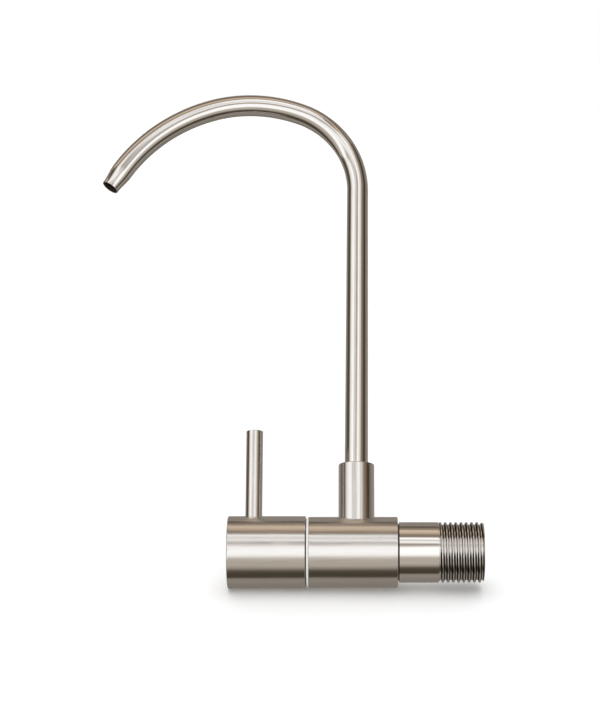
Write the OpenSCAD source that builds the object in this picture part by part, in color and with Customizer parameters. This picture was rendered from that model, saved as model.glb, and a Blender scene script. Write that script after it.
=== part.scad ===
// Wall-mounted drinking water tap with a side lever and a swivel gooseneck spout.
// The tap's axis is X, with the wall towards +X, and Z points up.
// The origin is on the axis, where the inlet thread starts. All sizes are in millimetres.

/* [Inlet tail] */
// Major diameter of the inlet thread, a G1/2 parallel thread
thread_d = 20.955; // [20:0.005:22]
// Length of the inlet thread
thread_len = 15.2; // [10:0.1:20]
// Length of the lead-in chamfer at the thread's end
thread_chamfer = 0.7; // [0.4:0.1:1.2]
// Pitch of the thread
thread_pitch = 1.814; // [1.3:0.001:2.4]
// Depth of the thread
thread_depth = 1.16; // [0.8:0.01:1.5]
// Diameter of the smooth stretch between the body and the thread
tail_d = 20.6; // [19.9:0.1:22]
// Length of that smooth stretch
tail_len = 14; // [8:0.1:25]
// Shoulder of the tail round the spigot that screws into the body
spigot_step = 2.3; // [2:0.1:3]
// Wall of that spigot
spigot_wall = 1.75; // [1.2:0.05:2.5]
// Length of the spigot inside the body
spigot_len = 6; // [5:0.1:7]
// Width of the dark seam between the body and the tail
seam_w = 0.5; // [0.4:0.1:1.2]
// Depth of the gasket's rim below the tail's surface
gasket_recess = 0.5; // [0.2:0.1:1]

/* [Body] */
// Diameter of the turned body
body_d = 24.5; // [23:0.5:30]
// Length of the turned body
body_len = 30.8; // [29.5:0.1:40]
// Bore of the valve chamber, as a share of the body's diameter
chamber_share = 0.751; // [0.7:0.001:0.8]
// Chamfer on the body's two rims
body_rim = 0.25; // [0.1:0.05:0.5]
// Wall of the spout collar welded on the body
collar_wall = 1.1; // [0.85:0.05:2]
// Height of the collar's top above the tap's axis
collar_top_z = 31; // [29:0.5:45]
// Chamfer on the collar's top rim
collar_rim = 0.3; // [0.1:0.05:0.4]
// Distance from the body's back face to the collar's axis
collar_from_back = 14.2; // [13.5:0.1:16]
// Thickness of the floor under the collar's bore
collar_floor_t = 2; // [1.5:0.1:3]
// Thickness of the seat web across the body
web_t = 2; // [1.5:0.1:2.5]

/* [Slip ring] */
// Width of the white ring that shows between the handle and the body
ring_w = 0.85; // [0.6:0.05:1.5]
// Depth of the ring's rim below the body's surface
ring_recess = 0.15; // [0.05:0.05:0.5]
// Wall of the ring's sleeve inside the body
ring_sleeve_t = 1.5; // [1:0.1:1.8]
// Length of the ring's sleeve inside the body
ring_sleeve_len = 1.4; // [1:0.1:2]

/* [Handle] */
// How far the handle drum stands proud of the body, to a side
handle_step = 0.25; // [0:0.05:1]
// Length of the handle drum
handle_len = 26.95; // [25:0.05:40]
// Rounding of the drum's two rims
handle_rim = 0.5; // [0.2:0.1:1]
// Distance from the drum's free face to the lever's axis
lever_from_face = 8.8; // [8.5:0.1:11]
// Diameter of the lever rod
lever_d = 5.85; // [5.4:0.05:8]
// Height of the lever's tip above the tap's axis
lever_tip_z = 43; // [25:1:80]
// Chamfer on the lever's tip
lever_chamfer = 0.45; // [0.2:0.05:1]
// Depth of the lever's seat below the drum's surface
lever_seat_depth = 2; // [1:0.1:2.5]
// Length of the lever's screwed end
lever_screw_len = 3.4; // [2.5:0.1:3.6]
// Width of the shoulder that the lever rod seats on
lever_shoulder = 0.35; // [0.2:0.05:0.6]

/* [Cartridge] */
// Width of the water space round the cartridge's barrel
barrel_gap = 0.9; // [0.7:0.1:1.1]
// Wall of the cartridge's barrel
barrel_wall = 1.2; // [1:0.1:1.4]
// Thickness of the rubber seat seal
seal_t = 1.6; // [1.2:0.1:2]
// Width of the rubber seat seal between its rim and its hole
seal_w = 2.3; // [1.8:0.1:3]
// Thickness of each ceramic disc
disc_t = 2; // [1.6:0.1:2.4]
// Opening angle of each water port in the discs
disc_port_a = 76; // [60:1:80]
// Width of the drive bar at the spindle's end
drive_w = 5; // [4:0.1:6]
// Thickness of that drive bar
drive_t = 2.6; // [2:0.1:3]
// Thickness of the spindle's thrust collar
thrust_t = 1.6; // [1.2:0.1:2]
// Thickness of the low-friction washer behind it
washer_t = 0.75; // [0.5:0.05:1]
// Diameter of the spindle, as a share of the barrel's bore
spindle_share = 0.563; // [0.5:0.001:0.65]
// How far the corners of the cartridge's hexagon stay inside the chamber's bore
hex_inset = 0.25; // [0.1:0.05:1]
// Distance that the cartridge stands out of the body's front face
head_len = 6.2; // [5:0.1:8]
// Number of teeth on the spindle's spline
spline_teeth = 20; // [12:1:24]
// Step from the spindle down to the tips of the spline's teeth
spline_step = 0.4; // [0.3:0.05:0.6]

/* [Spout] */
// Diameter of the spout tube at its foot
tube_d = 8.15; // [7.5:0.05:8.5]
// Diameter of the spout tube round its bends
bend_d = 7.6; // [7:0.05:8.2]
// Wall of the spout tube
tube_wall = 0.6; // [0.4:0.05:0.9]
// Height above the tap's axis at which the first bend starts
rise_z = 133.3; // [80:0.1:200]
// Radius of the first bend, which turns the tube by 74 degrees
bend_1_r = 28.4; // [20:0.1:60]
// Radius of the second bend, which turns it by 37 degrees
bend_2_r = 52.6; // [20:0.1:80]
// Radius of the third bend, which turns it by 37 degrees
bend_3_r = 65; // [20:0.1:90]
// Length of the drawn-in neck at the spout's mouth
neck_len = 8.5; // [5:0.5:12]
// Diameter of the spout's mouth
mouth_d = 6.2; // [5:0.1:7]
// Swivel of the spout towards the front
spout_turn = 13; // [-170:1:170]
// Wall of the bush round the tube's foot
bush_wall = 1.025; // [0.9:0.025:1.3]
// Length of the glide ring in the collar's mouth
glide_len = 4; // [3:0.1:5]

/* [Fits] */
// Radial gap between parts that turn on each other
run_gap = 0.05; // [0.03:0.01:0.08]
// Radial gap between parts that are screwed or pressed together
fit_gap = 0.02; // [0.01:0.01:0.04]
// Gap between the slip ring and the turning handle
handle_gap = 0.1; // [0.05:0.05:0.3]
// Water film between the two ceramic discs
disc_film = 0.02; // [0.01:0.01:0.05]

/* [Hidden] */
$fn = 96;
cut = 1;

// Places along the tap's axis, from the wall towards the handle
body_back_x = -tail_len - seam_w;
body_front_x = body_back_x - body_len;
collar_x = body_back_x - collar_from_back;
ring_front_x = body_front_x - ring_w;
handle_back_x = ring_front_x - handle_gap;
handle_face_x = handle_back_x - handle_len;
lever_x = handle_face_x + lever_from_face;
web_back_x = body_back_x - spigot_len;
seat_x = web_back_x - web_t;
fixed_disc_x = seat_x - seal_t - disc_t;
moving_disc_x = fixed_disc_x - disc_film - disc_t;
drive_x = moving_disc_x - drive_t;
thrust_x = drive_x - thrust_t;
washer_x = thrust_x - run_gap - washer_t;

// Inlet tail and its thread, whose flanks lean by 27.5 degrees to either side
thread_r = thread_d / 2;
tail_r = tail_d / 2;
spigot_r = tail_r - spigot_step;
tail_bore_r = spigot_r - spigot_wall;
flank_a = 27.5;
groove_root_w = thread_pitch / 2 - thread_depth * tan(flank_a);
groove_count = round((thread_len - thread_chamfer) / thread_pitch);
first_groove_x = 0.55 * thread_pitch;

// Spout foot, seen along its own axis
tube_r = tube_d / 2;
bend_r = bend_d / 2;
mouth_r = mouth_d / 2;
bush_r = tube_r + bush_wall;
collar_bore_r = bush_r + run_gap;
collar_r = collar_bore_r + collar_wall;
bush_lip = 0.975;
bush_bore_r = tube_r - bush_lip;
port_r = bush_bore_r + 0.2;

// Body and slip ring
body_r = body_d / 2;
chamber_r = body_r * chamber_share;
sleeve_r = chamber_r + ring_sleeve_t;
ring_r = body_r - ring_recess;
collar_floor_z = body_r + collar_floor_t;

// Cartridge housing
housing_end_gap = 0.2;
barrel_r = chamber_r - barrel_gap;
barrel_bore_r = barrel_r - barrel_wall;
shoulder_t = 1.2;
keeper_t = 1.2;
bonnet_groove_w = 2;
bonnet_groove_depth = 1.4;
thread_part_r = chamber_r - fit_gap;
keeper_x = washer_x - shoulder_t - keeper_t;
bonnet_groove_x = keeper_x - bonnet_groove_w;
hex_x = body_front_x + ring_sleeve_len;
hex_corner_r = chamber_r - hex_inset;
nose_t = 2;
nose_rim = 1.8;
nose_x = body_front_x - head_len;
spindle_r = barrel_bore_r * spindle_share;
spindle_bore_r = spindle_r + run_gap;
nose_r = spindle_r + nose_rim;
window_w = 8;
window_margin = 0.4;

// Discs and seal
disc_gap = 0.1;
disc_r = barrel_bore_r - disc_gap;
moving_disc_inset = 0.3;
moving_disc_r = disc_r - moving_disc_inset;
disc_key_w = 3;
disc_key_gap = 0.1;
port_in_r = 1.8;
port_rim = 1.4;
seal_hole_r = disc_r - seal_w;
web_hole_r = seal_hole_r - 0.2;
dog_depth = 0.9;
dog_w = 3.2;
dog_reach = 1.5;

// Spindle, circlip and spline
groove_w = 1.9;
groove_depth = 1.15;
clip_t = 0.8;
clip_depth = 0.7;
clip_rim = 1.6;
clip_x = nose_x - run_gap - clip_t;
clip_land = 0.8;
clip_slot_a = 60;
spline_x = clip_x - clip_land;
spline_r = spindle_r - spline_step;
tooth_depth = 0.35;
tooth_share = 0.23;
slot_share = 0.27;
spline_gap = 0.08;
recess_x = spline_x - 1.2;
recess_gap = 1.05;
recess_r = hex_corner_r + recess_gap;
lever_r = lever_d / 2;
lever_screw_r = lever_r - lever_shoulder;
spindle_overrun = 1.8;
spindle_end_x = lever_x - lever_screw_r - spindle_overrun;
spline_end_gap = 0.4;

// Lever and grub screw
handle_r = body_r + handle_step;
lever_seat_z = handle_r - lever_seat_depth;
grub_foot_z = spline_r + run_gap;
grub_top_gap = 0.2;
grub_top_z = lever_seat_z - lever_screw_len - grub_top_gap;
grub_socket_af = 2.5;
grub_socket_depth = 1.4;

// Heights in the spout's foot
bush_end_gap = 0.15;
bush_foot_z = collar_floor_z + bush_end_gap;
glide_top_z = collar_top_z - bush_end_gap;
glide_foot_z = glide_top_z - glide_len;
bush_top_z = glide_foot_z - bush_end_gap;
socket_len = 5;
tube_foot_z = bush_top_z - socket_len;
o_ring_groove_w = 1.5;
o_ring_groove_depth = 0.95;
snap_t = 1;
snap_bush_depth = 0.55;
snap_collar_depth = 0.3;
snap_land = 1;
snap_z = bush_top_z - snap_land - snap_t;
snap_slot_a = 50;
o_ring_span = tube_foot_z - bush_foot_z;
spout_o_ring_z = [for (share = [0.3, 0.72]) bush_foot_z + share * o_ring_span];

// Spout bends as [radius, angle], in the order in which the water passes them.
// Their angles are those of a triangle with sides of 3, 4 and 5, whose sines are short decimals,
// so that each bend ends exactly where the next one starts.
triangle_a = atan(3 / 4);
BENDS = [[bend_1_r, 2 * triangle_a], [bend_2_r, triangle_a], [bend_3_r, triangle_a]];

// Bar along the tap's axis, from x0 to x1
module bar(r, x0, x1) {
    along(min(x0, x1))
        cylinder(r = r, h = abs(x1 - x0));
}

// Ring along the tap's axis
module ring(r_out, r_in, x0, x1) {
    difference() {
        bar(r_out, x0, x1);
        bar(r_in, min(x0, x1) - cut, max(x0, x1) + cut);
    }
}

// Stands what is drawn along Z on the tap's axis, from x towards the wall
module along(x) {
    translate([x, 0, 0])
        rotate([0, 90, 0])
            children();
}

// Moves what is drawn round the spout's own axis into place
module at_collar() {
    translate([collar_x, 0, 0])
        children();
}

// Round ring of rubber between two radii, about Z
module rubber_ring(r_in, r_out, z) {
    section = (r_out - r_in) / 2 - fit_gap / 2;
    translate([0, 0, z])
        rotate_extrude()
            translate([(r_in + r_out) / 2, 0])
                circle(r = section, $fn = 32);
}

// Flat split ring about Z, open at one side
module split_ring(r_out, r_in, t, slot_a) {
    reach = 2 * r_out;
    linear_extrude(t)
        difference() {
            circle(r = r_out);
            circle(r = r_in);
            polygon([
                [0, 0],
                [reach * cos(slot_a / 2), reach * sin(slot_a / 2)],
                [reach * cos(slot_a / 2), -reach * sin(slot_a / 2)]
            ]);
        }
}

// Toothed outline, with teeth that fill the given share of each step to either side
module spline_outline(r, share) {
    step = 360 / spline_teeth;
    root = r - tooth_depth;
    polygon([
        for (i = [0 : spline_teeth - 1])
            for (p = [[root, -share - 0.05], [r, -share + 0.05], [r, share - 0.05], [root, share + 0.05]])
                [p[0] * cos((i + p[1]) * step), p[0] * sin((i + p[1]) * step)]
    ]);
}

// Two opposite water ports in a disc, about Z, centred on the X axis of the disc
module disc_ports(r_disc) {
    reach = 2 * r_disc;
    half = disc_port_a / 2;
    for (side = [1, -1])
        intersection() {
            difference() {
                circle(r = r_disc - port_rim);
                circle(r = port_in_r);
            }
            polygon([
                [0, 0],
                [side * reach * cos(half), reach * sin(half)],
                [side * reach * cos(half), -reach * sin(half)]
            ]);
        }
}

// Turned body, with the collar welded on, bored for the cartridge, the tail and the spout
module valve_body() {
    color("silver")
        difference() {
            union() {
                bar(body_r, body_back_x - body_rim, body_front_x + body_rim);
                along(body_front_x)
                    cylinder(r1 = body_r - body_rim, r2 = body_r, h = body_rim);
                along(body_back_x - body_rim)
                    cylinder(r1 = body_r, r2 = body_r - body_rim, h = body_rim);
                at_collar()
                    cylinder(r = collar_r, h = collar_top_z - collar_rim);
                at_collar()
                    translate([0, 0, collar_top_z - collar_rim])
                        cylinder(r1 = collar_r, r2 = collar_r - collar_rim, h = collar_rim);
            }
            bar(chamber_r, seat_x, body_front_x - cut);
            bar(sleeve_r + fit_gap, hex_x, body_front_x - cut);
            bar(web_hole_r, web_back_x + cut, seat_x - cut);
            bar(spigot_r + fit_gap, body_back_x + cut, web_back_x);
            at_collar()
                translate([0, 0, collar_floor_z])
                    cylinder(r = collar_bore_r, h = collar_top_z - collar_floor_z + cut);
            at_collar()
                cylinder(r = port_r, h = collar_floor_z + cut);
            at_collar()
                translate([0, 0, snap_z])
                    cylinder(r = collar_bore_r + snap_collar_depth, h = snap_t);
        }
}

// Inlet nipple: spigot, smooth stretch and thread
module inlet_tail() {
    color("silver")
        difference() {
            union() {
                bar(spigot_r, web_back_x + fit_gap, -tail_len + cut);
                bar(tail_r, -tail_len, 0);
                bar(thread_r, 0, thread_len - thread_chamfer);
                along(thread_len - thread_chamfer)
                    cylinder(r1 = thread_r, r2 = thread_r - thread_chamfer, h = thread_chamfer);
            }
            bar(tail_bore_r, web_back_x - cut, thread_len + cut);
            for (i = [0 : groove_count - 1])
                thread_groove(first_groove_x + i * thread_pitch);
        }
}

// Ring that cuts one turn of the thread, which is shown as grooves side by side
module thread_groove(x) {
    reach = thread_depth + cut;
    root_r = thread_r - thread_depth;
    mouth_w = groove_root_w + 2 * reach * tan(flank_a);
    along(x)
        rotate_extrude()
            polygon([
                [root_r, -groove_root_w / 2],
                [root_r + reach, -mouth_w / 2],
                [root_r + reach, mouth_w / 2],
                [root_r, groove_root_w / 2]
            ]);
}

// Black rubber washer in the seam between the body and the tail
module tail_gasket() {
    color("black")
        ring(tail_r - gasket_recess, spigot_r + fit_gap, body_back_x, -tail_len);
}

// White plastic ring that the handle turns against, with its sleeve in the body
module slip_ring() {
    color("white")
        difference() {
            union() {
                bar(ring_r, ring_front_x, body_front_x);
                bar(sleeve_r, body_front_x, hex_x);
            }
            bar(hex_corner_r + fit_gap, ring_front_x - cut, hex_x + cut);
        }
}

// Brass cartridge housing: barrel with two water windows, keeper, thread, hexagon and nose
module cartridge_housing() {
    housing_end_x = seat_x - housing_end_gap;
    window_x0 = drive_x + window_margin;
    window_x1 = moving_disc_x + disc_t - window_margin;
    color("goldenrod")
        difference() {
            union() {
                bar(barrel_r, housing_end_x, washer_x - shoulder_t);
                bar(thread_part_r, washer_x - shoulder_t, keeper_x);
                bar(thread_part_r - bonnet_groove_depth, keeper_x, bonnet_groove_x);
                bar(thread_part_r, bonnet_groove_x, hex_x);
                along(nose_x + nose_t)
                    cylinder(r = hex_corner_r, h = hex_x - nose_x - nose_t, $fn = 6);
                bar(nose_r, nose_x, nose_x + nose_t);
            }
            bar(barrel_bore_r, washer_x, housing_end_x + cut);
            bar(spindle_bore_r, nose_x - cut, washer_x + cut);
            translate([window_x0, -window_w / 2, -chamber_r])
                cube([window_x1 - window_x0, window_w, 2 * chamber_r]);
            translate([fixed_disc_x, -chamber_r, -disc_key_w / 2 - disc_key_gap])
                cube([housing_end_x - fixed_disc_x + cut, 2 * chamber_r, disc_key_w + 2 * disc_key_gap]);
        }
}

// Plastic washer between the spindle's thrust collar and the housing
module thrust_washer() {
    color("ivory")
        ring(disc_r, spindle_bore_r + disc_gap, washer_x, washer_x + washer_t);
}

// Fixed ceramic disc, keyed in the housing, with its two ports above and below the axis
module fixed_disc() {
    color("white")
        along(fixed_disc_x)
            linear_extrude(disc_t)
                difference() {
                    union() {
                        circle(r = disc_r);
                        square([disc_key_w, 2 * barrel_r - 2 * disc_gap], center = true);
                    }
                    disc_ports(disc_r);
                }
}

// Rubber seal between the fixed disc and the seat web
module seat_seal() {
    color("dimgray")
        ring(disc_r, seal_hole_r, seat_x - seal_t, seat_x);
}

// Rubber ring that seals the cartridge housing in the valve chamber
module bonnet_o_ring() {
    color("black")
        along((keeper_x + bonnet_groove_x) / 2)
            rubber_ring(thread_part_r - bonnet_groove_depth, chamber_r, 0);
}

// Plastic ring in the collar's mouth that the tube turns in
module spout_glide_ring() {
    color("ivory")
        at_collar()
            translate([0, 0, glide_foot_z])
                difference() {
                    cylinder(r = collar_bore_r - fit_gap, h = glide_len);
                    translate([0, 0, -cut])
                        cylinder(r = tube_r + run_gap, h = glide_len + 2 * cut);
                }
}

// Split ring that locks the spout's bush in the collar
module spout_snap_ring() {
    color("silver")
        at_collar()
            translate([0, 0, snap_z + fit_gap])
                split_ring(
                    collar_bore_r + snap_collar_depth - fit_gap,
                    bush_r - snap_bush_depth + run_gap,
                    snap_t - 2 * fit_gap,
                    snap_slot_a
                );
}

// Turned handle drum: recess over the cartridge's head, splined bore and the lever's screwed hole
module handle_drum() {
    color("silver")
        difference() {
            along(handle_face_x)
                rotate_extrude() {
                    square([handle_r - handle_rim, handle_len]);
                    translate([0, handle_rim])
                        square([handle_r, handle_len - 2 * handle_rim]);
                    for (y = [handle_rim, handle_len - handle_rim])
                        translate([handle_r - handle_rim, y])
                            circle(r = handle_rim);
                }
            bar(recess_r, recess_x, handle_back_x + cut);
            along(spindle_end_x - spline_end_gap)
                linear_extrude(recess_x - spindle_end_x + spline_end_gap + cut)
                    spline_outline(spline_r + spline_gap, slot_share);
            translate([lever_x, 0, lever_seat_z])
                cylinder(r = lever_r + fit_gap, h = handle_r);
            translate([lever_x, 0, 0])
                cylinder(r = lever_screw_r + fit_gap, h = handle_r);
        }
}

// Lever rod, screwed into the drum
module lever_rod() {
    color("silver")
        translate([lever_x, 0, 0]) {
            translate([0, 0, lever_seat_z - lever_screw_len])
                cylinder(r = lever_screw_r, h = lever_screw_len + cut);
            translate([0, 0, lever_seat_z])
                cylinder(r = lever_r, h = lever_tip_z - lever_seat_z - lever_chamfer);
            translate([0, 0, lever_tip_z - lever_chamfer])
                cylinder(r1 = lever_r, r2 = lever_r - lever_chamfer, h = lever_chamfer);
        }
}

// Grub screw under the lever, which clamps the drum on the spindle
module handle_grub_screw() {
    color("dimgray")
        translate([lever_x, 0, grub_foot_z])
            difference() {
                cylinder(r = lever_screw_r, h = grub_top_z - grub_foot_z);
                translate([0, 0, grub_top_z - grub_foot_z - grub_socket_depth])
                    cylinder(d = grub_socket_af / cos(30), h = grub_socket_depth + cut, $fn = 6);
            }
}

// Place of the spindle's rubber rings, as a share of its bearing in the housing
function spindle_ring_x(share) = washer_x + share * (nose_x - washer_x);

// Brass spindle: drive bar with two dogs, thrust collar, two ring grooves, clip groove and spline
module cartridge_spindle() {
    bar_r = moving_disc_r - disc_gap;
    color("goldenrod") {
        difference() {
            union() {
                intersection() {
                    bar(bar_r, drive_x, moving_disc_x);
                    translate([drive_x - cut, -drive_w / 2, -chamber_r])
                        cube([drive_t + 2 * cut, drive_w, 2 * chamber_r]);
                }
                bar(bar_r, thrust_x, drive_x);
                bar(spindle_r, spline_x, thrust_x + cut);
                along(spindle_end_x)
                    linear_extrude(spline_x - spindle_end_x + cut)
                        spline_outline(spline_r, tooth_share);
                for (side = [1, -1])
                    translate([moving_disc_x - cut, -dog_w / 2, side * (bar_r - dog_reach / 2) - dog_reach / 2])
                        cube([dog_depth + cut, dog_w, dog_reach - disc_gap]);
            }
            for (share = [0.3, 0.75])
                ring(
                    spindle_r + cut,
                    spindle_r - groove_depth,
                    spindle_ring_x(share) - groove_w / 2,
                    spindle_ring_x(share) + groove_w / 2
                );
            ring(spindle_r + cut, spindle_r - clip_depth, clip_x, clip_x + clip_t);
        }
    }
}

// Rubber ring on the spindle, at a share of its bearing
module spindle_rubber_ring(share) {
    color("black")
        along(spindle_ring_x(share))
            rubber_ring(spindle_r - groove_depth, spindle_bore_r, 0);
}

module spindle_o_ring_outer() {
    spindle_rubber_ring(0.75);
}

module spindle_o_ring_inner() {
    spindle_rubber_ring(0.3);
}

// Circlip that keeps the spindle in its housing
module spindle_circlip() {
    color("dimgray")
        along(clip_x + fit_gap)
            split_ring(
                spindle_r - clip_depth + clip_rim,
                spindle_r - clip_depth + fit_gap,
                clip_t - 2 * fit_gap,
                clip_slot_a
            );
}

// Moving ceramic disc: ports to either side of the axis while the tap is shut, and two dog notches
module moving_disc() {
    notch_in = moving_disc_r - disc_gap - dog_reach - disc_gap;
    color("white")
        along(moving_disc_x)
            difference() {
                linear_extrude(disc_t)
                    difference() {
                        circle(r = moving_disc_r);
                        rotate(90)
                            disc_ports(moving_disc_r);
                    }
                for (side = [0, 180])
                    rotate(side)
                        translate([notch_in, -dog_w / 2 - disc_gap, -cut])
                            cube([chamber_r, dog_w + 2 * disc_gap, dog_depth + disc_gap + cut]);
            }
}

// Straight stretch of tube that stands on Z and may narrow upwards
module tube_stretch(r_low, r_high, h) {
    rotate_extrude()
        polygon([[r_low - tube_wall, 0], [r_low, 0], [r_high, h], [r_high - tube_wall, h]]);
}

// Bend that starts upwards at the origin and turns towards +X
module tube_bend(r, angle) {
    translate([r, 0, 0])
        rotate([90, 0, 0])
            rotate([0, 0, 180 - angle])
                rotate_extrude(angle = angle)
                    translate([r, 0])
                        difference() {
                            circle(r = bend_r);
                            circle(r = bend_r - tube_wall);
                        }
}

// The spout from bend number i onwards, with each piece placed at the end of the one before it
module tube_from(i) {
    if (i < len(BENDS)) {
        tube_bend(BENDS[i][0], BENDS[i][1]);
        translate([BENDS[i][0], 0, 0])
            rotate([0, BENDS[i][1], 0])
                translate([-BENDS[i][0], 0, 0])
                    tube_from(i + 1);
    } else {
        tube_stretch(bend_r, mouth_r, neck_len);
    }
}

// Gooseneck tube, open at its foot and at its drawn-in mouth
module spout_tube() {
    color("silver")
        at_collar()
            rotate([0, 0, 180 + spout_turn]) {
                translate([0, 0, tube_foot_z])
                    tube_stretch(tube_r, tube_r, collar_top_z - tube_foot_z);
                translate([0, 0, collar_top_z])
                    tube_stretch(tube_r, bend_r, rise_z - collar_top_z);
                translate([0, 0, rise_z])
                    tube_from(0);
            }
}

// Brass bush at the tube's foot, with two grooves for rubber rings and one for the snap ring
module spout_bush() {
    color("goldenrod")
        at_collar()
            difference() {
                translate([0, 0, bush_foot_z])
                    cylinder(r = bush_r, h = bush_top_z - bush_foot_z);
                translate([0, 0, bush_foot_z - cut])
                    cylinder(r = bush_bore_r, h = bush_top_z - bush_foot_z + 2 * cut);
                translate([0, 0, tube_foot_z])
                    cylinder(r = tube_r + fit_gap, h = socket_len + cut);
                for (z = spout_o_ring_z)
                    translate([0, 0, z - o_ring_groove_w / 2])
                        groove_cutter(bush_r - o_ring_groove_depth, o_ring_groove_w);
                translate([0, 0, snap_z - run_gap])
                    groove_cutter(bush_r - snap_bush_depth, snap_t + 2 * run_gap);
            }
}

// Ring that cuts a groove of the given floor radius and width into the bush
module groove_cutter(r_floor, w) {
    difference() {
        cylinder(r = bush_r + cut, h = w);
        translate([0, 0, -cut])
            cylinder(r = r_floor, h = w + 2 * cut);
    }
}

module spout_o_ring_upper() {
    color("black")
        at_collar()
            rubber_ring(bush_r - o_ring_groove_depth, collar_bore_r, spout_o_ring_z[1]);
}

module spout_o_ring_lower() {
    color("black")
        at_collar()
            rubber_ring(bush_r - o_ring_groove_depth, collar_bore_r, spout_o_ring_z[0]);
}

valve_body();
inlet_tail();
tail_gasket();
slip_ring();
cartridge_housing();
thrust_washer();
fixed_disc();
seat_seal();
bonnet_o_ring();
spout_glide_ring();
spout_snap_ring();
handle_drum();
lever_rod();
handle_grub_screw();
cartridge_spindle();
spindle_o_ring_outer();
spindle_o_ring_inner();
spindle_circlip();
moving_disc();
spout_tube();
spout_bush();
spout_o_ring_upper();
spout_o_ring_lower();
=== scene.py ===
"""A wall-mounted drinking water tap in satin stainless steel, with a side lever and a swivel gooseneck spout.

The tap's axis is X, with the wall towards +X, and the photo looks along +Y from a little below.
"""

from math import atan, cos, hypot, pi, radians, sin

import bmesh
import bpy
from mathutils import Matrix, Vector
from mathutils.kdtree import KDTree


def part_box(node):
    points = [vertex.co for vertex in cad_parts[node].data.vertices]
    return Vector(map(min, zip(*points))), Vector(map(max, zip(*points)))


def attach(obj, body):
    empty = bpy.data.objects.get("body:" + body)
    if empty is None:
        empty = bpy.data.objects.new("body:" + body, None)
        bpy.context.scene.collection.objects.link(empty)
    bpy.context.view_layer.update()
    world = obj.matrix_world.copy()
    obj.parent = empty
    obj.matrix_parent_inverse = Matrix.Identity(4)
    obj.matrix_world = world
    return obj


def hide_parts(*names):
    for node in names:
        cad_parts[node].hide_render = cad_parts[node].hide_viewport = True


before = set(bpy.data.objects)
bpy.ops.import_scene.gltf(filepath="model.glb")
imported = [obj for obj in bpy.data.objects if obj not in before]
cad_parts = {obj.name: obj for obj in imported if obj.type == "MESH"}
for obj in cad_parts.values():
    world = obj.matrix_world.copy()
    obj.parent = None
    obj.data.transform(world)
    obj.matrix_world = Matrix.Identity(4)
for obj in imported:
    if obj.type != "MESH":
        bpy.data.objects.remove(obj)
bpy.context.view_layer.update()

MM = 0.001
CLOSE = 0.001 * MM

# Sizes read from the frame
body_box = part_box("valve_body")
drum_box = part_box("handle_drum")
ring_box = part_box("slip_ring")
gasket_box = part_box("tail_gasket")
tail_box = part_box("inlet_tail")
lever_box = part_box("lever_rod")
tube_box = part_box("spout_tube")
bush_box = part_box("spout_bush")
housing_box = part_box("cartridge_housing")
seal_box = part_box("seat_seal")
thread_r = tail_box[1][1]
body_r = body_box[1][1]
drum_r = drum_box[1][1]
bush_r = bush_box[1][1]
body_back_x = body_box[1][0]
body_front_x = body_box[0][0]
collar_top_z = body_box[1][2]
collar_x = (bush_box[0][0] + bush_box[1][0]) / 2
lever_x = (lever_box[0][0] + lever_box[1][0]) / 2
lever_r = (lever_box[1][0] - lever_box[0][0]) / 2
lever_tip_z = lever_box[1][2]

# Sizes of the handle and the lever
drum_rim = 0.45 * MM
joint_chamfer = 0.2 * MM
drum_bore_r = 3.7 * MM
drum_bore_end = 3 * MM
drum_recess = 2 * MM
lever_rim = 0.4 * MM
lever_seat_z = drum_r - 2 * MM
lever_shoulder = 0.35 * MM

# The play between two pieces, and how far a cut reaches past a face
fit = 0.02 * MM
cut_past = 1 * MM

# Sizes of the body, the collar and the white ring
body_rim = 0.22 * MM
chamber_r = 9.2 * MM
drum_recess_r = chamber_r + 0.8 * MM
sleeve_r = chamber_r + 1.3 * MM
ring_bore_r = chamber_r - 0.2 * MM
ring_rim = 0.04 * MM
groove_w = 0.2 * MM
groove_depth = 0.5 * MM
seal_hole_r = 4.7 * MM
spigot_r = 8 * MM
spigot_len = 6 * MM
gasket_rim = 0.1 * MM
collar_r = bush_r + 1.15 * MM
collar_rim = 0.3 * MM
collar_bore_r = bush_r + 0.05 * MM
collar_hole_r = 3.2 * MM
bush_gap = 0.15 * MM

# Sizes of the inlet tail and its thread
thread_pitch = 1.814 * MM
thread_depth = 0.98 * MM
thread_rounding = 0.18 * thread_pitch
thread_flank = radians(62.5)
thread_phase = 1.1 * MM
thread_relief = 0.45 * MM
thread_chamfer_len = 1.3 * MM
root_r = thread_r - thread_depth
core_r = root_r - 0.2 * MM
tail_r = thread_r - 0.05 * MM
tail_bore_r = 6.25 * MM
notch_x = -0.5 * MM
notch_slope = 0.12 * MM
notch_depth = 0.35 * MM
notch_end_x = -0.1 * MM
thread_overlap = 0.3 * MM
tail_face_r = root_r + 0.6 * MM

# Sizes of the spout, which leans a little and is turned to the front
tube_r = bush_r - 1.025 * MM
bend_r = 3.8 * MM
tube_wall = 0.6 * MM
mouth_r = 3.1 * MM
mouth_edge = 0.28 * MM
neck_len = 7.83 * MM
rise_z = 133.3 * MM
spout_turn = radians(13)
lean = radians(0.34)

# The spout's bends, as (radius, angle), with the angles of a triangle of sides 3, 4 and 5
triangle = atan(3 / 4)
BENDS = [(28.4 * MM, 2 * triangle), (52.6 * MM, triangle), (65 * MM, triangle)]
bend_step = radians(1.5)

# How many points a ring has
SEGMENTS = 160
ROUND_BODY = 240
ROUND_TUBE = 96
ROUND_HOLE = 64


# Modelling

def start_ring(radius, height, segments=SEGMENTS, filled=False):
    """Starts a mesh with one ring about Z, and leaves it selected in edit mode."""
    if bpy.context.object and bpy.context.object.mode == "EDIT":
        bpy.ops.object.mode_set(mode="OBJECT")
    bpy.ops.object.select_all(action="DESELECT")
    bpy.ops.mesh.primitive_circle_add(
        vertices=segments, radius=radius, fill_type="NGON" if filled else "NOTHING", enter_editmode=True
    )
    bpy.ops.transform.translate(value=(0, 0, height))


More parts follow.
